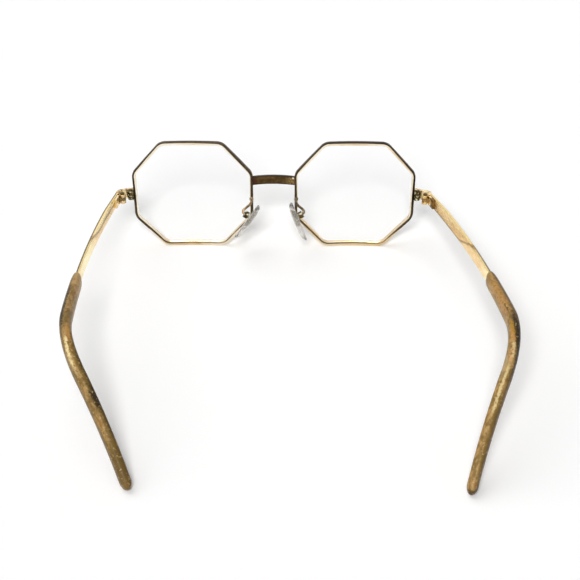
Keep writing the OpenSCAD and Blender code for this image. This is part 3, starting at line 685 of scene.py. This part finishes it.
class Material:
    """A Principled material and the few nodes that its pattern needs."""

    NOISE_ROUGHNESS = 0.55
    MIX_COLOR_A, MIX_COLOR_B, MIX_COLOR_RESULT = 6, 7, 2

    def __init__(self, name, **settings):
        self.material = bpy.data.materials.new(name)
        self.material.use_nodes = True
        self.tree = self.material.node_tree
        self.shader = self.tree.nodes["Principled BSDF"]
        self.coords = self.tree.nodes.new("ShaderNodeTexCoord").outputs["Object"]
        for key, value in settings.items():
            self.shader.inputs[key.replace("_", " ")].default_value = value

    def link(self, source, target):
        if isinstance(source, bpy.types.NodeSocket):
            self.tree.links.new(source, target)
        else:
            target.default_value = source

    def noise(self, scale, detail, vector=None, distortion=0.0):
        node = self.tree.nodes.new("ShaderNodeTexNoise")
        node.inputs["Scale"].default_value = scale
        node.inputs["Detail"].default_value = detail
        node.inputs["Roughness"].default_value = self.NOISE_ROUGHNESS
        node.inputs["Distortion"].default_value = distortion
        self.tree.links.new(vector or self.coords, node.inputs["Vector"])
        return node.outputs["Fac"]

    def attribute(self, name):
        node = self.tree.nodes.new("ShaderNodeAttribute")
        node.attribute_name = name
        return node.outputs["Fac"]

    def vector(self, x, y, z):
        node = self.tree.nodes.new("ShaderNodeCombineXYZ")
        for value, socket in zip((x, y, z), node.inputs):
            self.link(value, socket)
        return node.outputs[0]

    def math(self, operation, a, b=0.0):
        node = self.tree.nodes.new("ShaderNodeMath")
        node.operation = operation
        self.link(a, node.inputs[0])
        self.link(b, node.inputs[1])
        return node.outputs[0]

    def distance(self, point):
        """Distance from point, in metres."""
        node = self.tree.nodes.new("ShaderNodeVectorMath")
        node.operation = "DISTANCE"
        self.link(self.coords, node.inputs[0])
        self.link(point, node.inputs[1])
        return node.outputs["Value"]

    def ramp(self, value, low, high, out_low=0.0, out_high=1.0):
        """out_low below low, out_high above high, smooth in between."""
        node = self.tree.nodes.new("ShaderNodeMapRange")
        node.interpolation_type = "SMOOTHSTEP"
        limits = {"From Min": low, "From Max": high, "To Min": out_low, "To Max": out_high}
        for key, number in limits.items():
            node.inputs[key].default_value = number
        self.link(value, node.inputs["Value"])
        return node.outputs["Result"]

    def band(self, value, centre, half, soft):
        """1 where value lies within half of centre, fading to 0 over soft."""
        away = self.math("ABSOLUTE", self.math("SUBTRACT", value, centre))
        return self.ramp(away, max(0.0, half - soft), half + soft, 1.0, 0.0)

    def mix(self, factor, a, b):
        node = self.tree.nodes.new("ShaderNodeMix")
        node.data_type = "RGBA"
        self.link(factor, node.inputs[0])
        self.link(a, node.inputs[self.MIX_COLOR_A])
        self.link(b, node.inputs[self.MIX_COLOR_B])
        return node.outputs[self.MIX_COLOR_RESULT]

    def color(self, source):
        self.link(source, self.shader.inputs["Base Color"])

    def roughness(self, source):
        self.link(source, self.shader.inputs["Roughness"])

    def bump(self, height, distance, strength):
        node = self.tree.nodes.new("ShaderNodeBump")
        node.inputs["Distance"].default_value = distance
        node.inputs["Strength"].default_value = strength
        self.tree.links.new(height, node.inputs["Height"])
        self.tree.links.new(node.outputs["Normal"], self.shader.inputs["Normal"])


def rim_material():
    """Polished gold, pale inside (a painted highlight), near black along the outer back edge (worn plate
    and a painted dark reflection).
    """
    m = Material("rim_gold_worn_and_painted_light", Metallic=1.0)
    fine, broad = m.noise(1400, 4), m.noise(180, 3)
    gold = m.mix(m.ramp(broad, 0.35, 0.65), srgb(222, 192, 140), srgb(206, 172, 116))
    # The pale tone is a painted highlight, where polished gold reflects white
    pale = m.mix(m.ramp(broad, 0.3, 0.7), srgb(253, 250, 238), srgb(247, 239, 216))
    warm = m.math("MULTIPLY", m.attribute("warm"), m.ramp(fine, 0.1, 0.5, 0.75, 1.0))
    base = m.mix(warm, pale, gold)
    front = m.ramp(m.attribute("around"), FRONT_AT - 0.2, FRONT_AT)
    base = m.mix(front, base, gold)
    # Worn plate and a painted dark reflection, near black above a strength of 1
    worn_and_dark_reflection = m.mix(m.ramp(fine, 0.35, 0.7), srgb(58, 47, 36), srgb(92, 76, 54))
    worn_and_dark_reflection = m.mix(m.ramp(m.attribute("dark"), 1.0, 1.3), worn_and_dark_reflection, srgb(36, 27, 18))
    edge = m.math("ADD", m.attribute("dark"), m.ramp(fine, 0.3, 0.7, -0.14, 0.14))
    dark = m.ramp(edge, 0.1, 0.75)
    m.color(m.mix(dark, base, worn_and_dark_reflection))
    m.roughness(m.ramp(m.math("ADD", dark, fine), 0.3, 1.5, 0.16, 0.42))
    m.bump(m.noise(2600, 3), 0.00002, 0.5)
    return m.material


def bridge_material():
    """Dark bronze, partly tarnish and partly a painted dark reflection, with painted shade near black at
    its edges, reddish at one end, with solder at the other.
    """
    m = Material("bridge_bronze", Metallic=1.0)
    along, height = m.attribute("along"), m.attribute("height")
    fine, broad = m.noise(1700, 4), m.noise(420, 3)
    # Dark bronze: tarnish together with a painted dark reflection
    base = m.mix(m.ramp(broad, 0.35, 0.65), srgb(66, 50, 28), srgb(92, 72, 42))
    flecks = m.ramp(fine, 0.6, 0.72)
    base = m.mix(flecks, base, srgb(146, 118, 70))
    right_end = m.ramp(along, 4.0, 7.5)
    base = m.mix(m.math("MULTIPLY", right_end, m.ramp(fine, 0.4, 0.6)), base, srgb(160, 134, 88))
    left_end = m.ramp(m.math("ADD", along, m.ramp(fine, 0.3, 0.7, -0.5, 0.5)), -7.4, -5.8, 0.9, 0.0)
    base = m.mix(left_end, base, srgb(72, 44, 34))
    solder = m.math("MULTIPLY", m.band(along, 7.7, 0.35, 0.2), m.band(height, 0.8, 0.25, 0.15))
    base = m.mix(solder, base, srgb(250, 240, 214))
    # Painted shade near black along the top and bottom edges
    edge = m.ramp(m.math("ABSOLUTE", height), 0.72, 0.9)
    m.color(m.mix(edge, base, srgb(46, 36, 26)))
    m.roughness(m.ramp(fine, 0.3, 0.7, 0.28, 0.5))
    m.bump(fine, 0.00004, 0.6)
    return m.material


def temple_material(side):
    """Polished gold bar, peach, with pale stretches of painted highlight, a climbing brown line of
    painted dark reflection and a dark outer edge of painted shade.
    """
    m = Material(f"{SIDE_NAMES[side]}_temple_gold", Metallic=1.0)
    along, height, depth = m.attribute("along"), m.attribute("height"), m.attribute("depth")
    flow = m.vector(m.math("MULTIPLY", along, 0.12), height, depth)
    streak = m.noise(2.2, 4, flow)
    fine = m.noise(1500, 4)
    start, end, low, high = LINE_CLIMB[side]
    line = m.ramp(along, start, end, low, high)
    above = m.math("SUBTRACT", height, line)
    peach = m.mix(m.ramp(streak, 0.35, 0.65), srgb(246, 216, 158), srgb(232, 192, 124))
    # Painted highlight for the pale stretches
    painted_highlight = m.mix(m.ramp(streak, 0.35, 0.65), srgb(255, 248, 206), srgb(250, 230, 160))
    highlight_zone = m.band(along, *HIGHLIGHT_ZONE[side], 8.0)
    face = m.mix(highlight_zone, peach, painted_highlight)
    # Painted light: the top edge takes a tone of its own
    base = m.mix(m.ramp(height, 0.7, 0.9), face, srgb(232, 206, 146))
    # On the left, a paler painted reflection above the line
    if side == LEFT:
        base = m.mix(m.ramp(above, 0.0, 0.1), base, srgb(252, 226, 164))
    # The brown line is a painted dark reflection
    ragged = m.math("ADD", above, m.ramp(streak, 0.2, 0.8, -0.07, 0.07))
    fading = m.ramp(along, *LINE_END[side], 0.9, 0.0)
    brown = m.math("MULTIPLY", m.band(ragged, 0.0, 0.18, 0.14), fading)
    base = m.mix(brown, base, srgb(146, 112, 54))
    # Painted shade along the dark outer edge
    corner = m.math("MULTIPLY", m.ramp(height, 0.4, 0.6), m.ramp(depth, -0.35, -0.05))
    corner = m.math("MULTIPLY", corner, m.ramp(along, *EDGE_START[side], 0.0, 0.95))
    base = m.mix(corner, base, srgb(92, 80, 56))
    specks = m.ramp(fine, 0.66, 0.76, 0.0, 0.4)
    m.color(m.mix(specks, base, srgb(176, 140, 84)))
    m.roughness(m.ramp(fine, 0.3, 0.7, 0.14, 0.3))
    m.bump(m.noise(1.5, 4, m.vector(m.math("MULTIPLY", along, 0.4), height, depth)), 0.00003, 0.4)
    return m.material


def small_gold_material(side, part, pale, tan, zones=()):
    """Gold plate with brown wear; zones are as in HINGE_ZONES."""
    name = SIDE_NAMES[side]
    m = Material(f"{name}_{part}_gold", Metallic=1.0)
    axis = next(j["pos_m"] for j in frame["joints"] if j["name"] == f"{name}_temple_fold")
    fine, broad = m.noise(1600, 4), m.noise(420, 3, distortion=0.6)
    away_mm = m.math("DIVIDE", m.distance(axis), MM)
    away = m.math("ADD", away_mm, m.ramp(fine, 0.3, 0.7, -0.3, 0.3))
    gold = m.mix(m.ramp(broad, 0.38, 0.62), srgb(*pale), srgb(*tan))
    brown = m.ramp(m.math("ADD", broad, m.ramp(fine, 0.3, 0.7, -0.05, 0.05)), 0.56, 0.66)
    gold = m.mix(brown, gold, srgb(122, 92, 52))
    for centre, half, strength, tone in zones:
        zone = m.math("MULTIPLY", m.band(away, centre, half, 0.3), strength)
        gold = m.mix(zone, gold, srgb(*tone))
    m.color(gold)
    m.roughness(m.ramp(fine, 0.3, 0.7, 0.16, 0.36))
    m.bump(fine, 0.00003, 0.5)
    return m.material


def dark_gold_material(name, base, light, fleck_and_glint, scale=1900, threshold=0.56):
    """Worn metal in two tones with specks, for the locks, screws, pad arms, boxes and inserts; the pale
    specks on the locks and boxes are painted glints.
    """
    m = Material(name, Metallic=1.0)
    fine, broad = m.noise(scale, 4), m.noise(600, 3)
    tone = m.mix(m.ramp(broad, 0.35, 0.65), base, light)
    m.color(m.mix(m.ramp(fine, threshold, threshold + 0.1), tone, fleck_and_glint))
    m.roughness(m.ramp(fine, 0.3, 0.7, 0.24, 0.45))
    m.bump(fine, 0.00004, 0.6)
    return m.material


def arm_material(side):
    """Tan on the left and dark brown on the right, as in the photo."""
    if side == LEFT:
        return dark_gold_material("left_arm_tan", srgb(108, 88, 62), srgb(146, 122, 88),
                                  srgb(214, 200, 168))
    return dark_gold_material("right_arm_brown", srgb(62, 52, 38), srgb(98, 82, 58),
                              srgb(190, 172, 136))


def tip_material(side):
    """Marbled tan, olive and brown cellulose, with the marks listed in TIP_MARKS, among them painted
    highlights and painted shade along the edges.
    """
    m = Material(f"{SIDE_NAMES[side]}_tip_plastic", IOR=1.5, Specular_IOR_Level=0.12)
    along, height, depth = m.attribute("along"), m.attribute("height"), m.attribute("depth")
    flow = m.vector(m.math("MULTIPLY", along, 0.2), m.math("MULTIPLY", height, 1.2), depth)
    streak = m.noise(1.6, 5, flow, distortion=0.8)
    patch = m.noise(240, 4)
    fleck = m.noise(1200, 4)
    base = m.mix(m.ramp(streak, 0.36, 0.62), srgb(134, 104, 56), srgb(176, 142, 88))
    base = m.mix(m.ramp(patch, 0.5, 0.62, 0.0, 0.8), base, srgb(120, 96, 48))
    base = m.mix(m.ramp(patch, 0.4, 0.3, 0.0, 0.7), base, srgb(160, 114, 64))
    ragged = m.math("ADD", m.attribute("around"), m.ramp(fleck, 0.3, 0.7, -0.12, 0.12))
    shifted = m.math("ADD", along, m.ramp(patch, 0.3, 0.7, -2.5, 2.5))
    for tone, strength, (s, w), (long, wide) in TIP_MARKS[side]:
        lengthwise, across = m.band(shifted, s, long, long * 0.45), m.band(ragged, w, wide, wide * 0.5)
        mark = m.math("MULTIPLY", lengthwise, across)
        base = m.mix(m.math("MULTIPLY", mark, strength), base, srgb(*tone))
    base = m.mix(m.ramp(fleck, 0.56, 0.68, 0.0, 0.6), base, srgb(96, 74, 40))
    base = m.mix(m.ramp(fleck, 0.3, 0.42, 0.55, 0.0), base, srgb(204, 172, 120))
    m.color(base)
    m.roughness(m.ramp(fleck, 0.3, 0.7, 0.3, 0.46))
    m.bump(m.math("ADD", fleck, streak), 0.00008, 0.5)
    return m.material


def pad_material():
    """Clear, slightly hazy plastic."""
    m = Material("pad_clear", IOR=1.45)
    m.shader.inputs["Transmission Weight"].default_value = 1.0
    haze = m.noise(500, 3)
    m.color(m.mix(m.ramp(haze, 0.35, 0.65), srgb(222, 219, 214), srgb(198, 195, 190)))
    m.roughness(m.ramp(haze, 0.3, 0.7, 0.06, 0.16))
    m.bump(m.noise(350, 2), 0.00005, 0.4)
    return m.material


def lens_material():
    """Thin clear glass, nearly unseen."""
    m = Material("lens_clear", IOR=1.5, Alpha=0.05)
    m.shader.inputs["Roughness"].default_value = 0.02
    faint = m.noise(60, 2)
    m.color(m.mix(m.ramp(faint, 0.3, 0.7), srgb(240, 243, 243), srgb(248, 250, 250)))
    return m.material


# ---------------------------------------------------------------- dressing the CAD nodes
def soften(node, width):
    """Rounds a carried-over node's machined edges a little, without changing its mesh."""
    obj = frame["nodes"][node]
    obj.data.polygons.foreach_set("use_smooth", [True] * len(obj.data.polygons))
    weld = obj.modifiers.new("weld", "WELD")
    weld.merge_threshold = 1e-6
    bevel = obj.modifiers.new("edges", "BEVEL")
    bevel.width = width * MM
    bevel.segments = 2
    bevel.limit_method = "ANGLE"
    bevel.angle_limit = math.radians(35)
    bevel.harden_normals = False
    normals = obj.modifiers.new("normals", "WEIGHTED_NORMAL")
    normals.keep_sharp = True


def dress(node, material):
    """Gives a carried-over node its material."""
    obj = frame["nodes"][node]
    obj.data.materials.clear()
    obj.data.materials.append(material)


def add_piece(obj, material, body, slot, *nodes):
    """Puts obj in the place of CAD nodes, on their body."""
    obj.data.materials.append(material)
    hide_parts(*nodes)
    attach(obj, body)


# CAD nodes carried over on each side: node, material and width of the rounded edges in mm
SMALL_PARTS = (
    ("end_piece", "gold", 0.12), ("front_hinge", "front_leaf", 0.08),
    ("temple_hinge", "temple_leaf", 0.08), ("lock_upper", "lock", 0.08), ("lock_lower", "lock", 0.08),
    ("lock_screw", "screw", 0.04), ("hinge_screw", "screw", 0.04), ("pad_box", "box", 0.08),
    ("pad_screw", "screw", 0.03), ("pad_insert", "insert", 0.04),
)


def side_materials(side):
    """The materials that only one side has."""
    return {
        "gold": small_gold_material(side, "end_piece", PALE_GOLD, TAN_GOLD),
        "front_leaf": small_gold_material(side, "front_hinge", *HINGE_TONES[side]),
        "temple_leaf": small_gold_material(side, "temple_hinge", PALE_GOLD, TAN_GOLD, HINGE_ZONES[side]),
        "temple": temple_material(side),
        "tip": tip_material(side),
        "arm": arm_material(side),
    }


def dress_side(side, shared):
    name = SIDE_NAMES[side]
    materials = {**shared, **side_materials(side)}
    add_piece(build_rim(side), materials["rim"], "front", "rim_gold", f"{name}_rim")
    temple = f"{name}_temple_body"
    add_piece(build_temple(side), materials["temple"], temple, "gold", f"{name}_temple")
    add_piece(build_tip(side), materials["tip"], temple, "tip_plastic", f"{name}_temple_tip")
    add_piece(build_pad(side), materials["pad"], f"{name}_pad_body", "pad_clear", f"{name}_nose_pad")
    add_piece(build_arm(side), materials["arm"], "front", "dark_gold", f"{name}_pad_arm")
    dress(f"{name}_lens", materials["lens"])
    for node, key, width in SMALL_PARTS:
        dress(f"{name}_{node}", materials[key])
        soften(f"{name}_{node}", width)


def dress_glasses():
    shared = {
        "rim": rim_material(),
        "pad": pad_material(),
        "lens": lens_material(),
        # The lock's pale specks are painted glints
        "lock": dark_gold_material("lock_olive", srgb(56, 48, 28), srgb(96, 84, 52),
                                   srgb(214, 206, 170), 1300, 0.54),
        # The box's near-white specks are painted glints
        "box": dark_gold_material("box_dark", srgb(46, 42, 30), srgb(82, 76, 54),
                                  srgb(240, 234, 204), 1100, 0.5),
        "screw": dark_gold_material("screw_dark", srgb(60, 46, 22), srgb(92, 72, 36),
                                    srgb(160, 134, 84)),
        "insert": dark_gold_material("insert_grey", srgb(204, 200, 190), srgb(222, 219, 210),
                                     srgb(120, 114, 100), 1100, 0.58),
    }
    add_piece(build_bridge(), bridge_material(), "front", "bronze", "bridge")
    for side in (LEFT, RIGHT):
        dress_side(side, shared)


# ---------------------------------------------------------------- table, light and camera
# Even light, key and sun together make the table just white
EVEN_LIGHT = 0.165
KEY_POWER, KEY_RADIUS, KEY_PLACE = 51.5, 0.09, (-45, -381, 390)
SUN_STRENGTH, SUN_SPREAD, SUN_TRAVEL = 1.25, 60, (0.4, -0.25, -0.8)
LAMP_GLOSS = 0.5

# The photograph's viewpoint: focal length in pixels of a picture PHOTO_SIDE wide, and the camera's
# place and axes, fitted to the rims and temples
FOCAL_PX, PHOTO_SIDE, SENSOR = 1010.93, 580, 36
CAMERA_PLACE = (3.27, -280.0853, 234.797179)
CAMERA_RIGHT = (0.999944, 0.010264, -0.00246)
CAMERA_UP = (-0.00418, 0.599156, 0.800622)
CAMERA_BACK = (0.009692, -0.800567, 0.599165)


def build_floor(size=3.0):
    corners = [(-size, -size, 0), (size, -size, 0), (size, size, 0), (-size, size, 0)]
    floor = mesh_object("floor", [Vector(c) for c in corners], [(0, 1, 2, 3)])
    m = Material("floor_white", Roughness=0.9)
    m.shader.inputs["Specular IOR Level"].default_value = 0.0
    m.color(srgb(254, 254, 254))
    floor.data.materials.append(m.material)


def build_world():
    """White to the camera and in reflections, and a softer even light on everything."""
    world = bpy.data.worlds.new("studio")
    bpy.context.scene.world = world
    world.use_nodes = True
    nodes, links = world.node_tree.nodes, world.node_tree.links
    background = nodes["Background"]
    background.inputs["Color"].default_value = (1, 1, 1, 1)
    path = nodes.new("ShaderNodeLightPath")
    seen = nodes.new("ShaderNodeMath")
    seen.operation = "MAXIMUM"
    links.new(path.outputs["Is Camera Ray"], seen.inputs[0])
    links.new(path.outputs["Is Glossy Ray"], seen.inputs[1])
    also = nodes.new("ShaderNodeMath")
    also.operation = "MAXIMUM"
    links.new(seen.outputs[0], also.inputs[0])
    links.new(path.outputs["Is Transmission Ray"], also.inputs[1])
    strength = nodes.new("ShaderNodeMapRange")
    strength.inputs["To Min"].default_value = EVEN_LIGHT
    strength.inputs["To Max"].default_value = 1.0
    links.new(also.outputs[0], strength.inputs["Value"])
    links.new(strength.outputs["Result"], background.inputs["Strength"])


def build_sun():
    """A broad sun from the far left, which shades the contacts."""
    data = bpy.data.lights.new("back", "SUN")
    data.energy = SUN_STRENGTH
    data.angle = math.radians(SUN_SPREAD)
    data.specular_factor = LAMP_GLOSS
    sun = bpy.data.objects.new("back", data)
    bpy.context.scene.collection.objects.link(sun)
    sun.rotation_euler = Vector(SUN_TRAVEL).to_track_quat("-Z", "Y").to_euler()


def build_key():
    """A lamp above the camera, with its distance evened out so that the table stays white."""
    data = bpy.data.lights.new("key", "POINT")
    data.energy = KEY_POWER
    data.shadow_soft_size = KEY_RADIUS
    data.specular_factor = LAMP_GLOSS
    data.use_nodes = True
    nodes, links = data.node_tree.nodes, data.node_tree.links
    falloff = nodes.new("ShaderNodeLightFalloff")
    path = nodes.new("ShaderNodeLightPath")
    links.new(path.outputs["Ray Length"], falloff.inputs["Strength"])
    links.new(falloff.outputs["Constant"], nodes["Emission"].inputs["Strength"])
    lamp = bpy.data.objects.new("key", data)
    lamp.location = Vector(KEY_PLACE) * MM
    bpy.context.scene.collection.objects.link(lamp)


def build_camera():
    data = bpy.data.cameras.new("camera")
    camera = bpy.data.objects.new("camera", data)
    bpy.context.scene.collection.objects.link(camera)
    matrix = Matrix((CAMERA_RIGHT, CAMERA_UP, CAMERA_BACK)).transposed().to_4x4()
    matrix.translation = Vector(CAMERA_PLACE) * MM
    camera.matrix_world = matrix
    data.sensor_width = SENSOR
    data.lens = SENSOR * FOCAL_PX / PHOTO_SIDE
    data.shift_x = 0.0034
    data.shift_y = 0.0007
    data.clip_start = 0.01
    data.clip_end = 20
    bpy.context.scene.camera = camera


dress_glasses()
build_floor()
build_world()
build_key()
build_sun()
build_camera()
bpy.context.scene.view_settings.view_transform = "Standard"
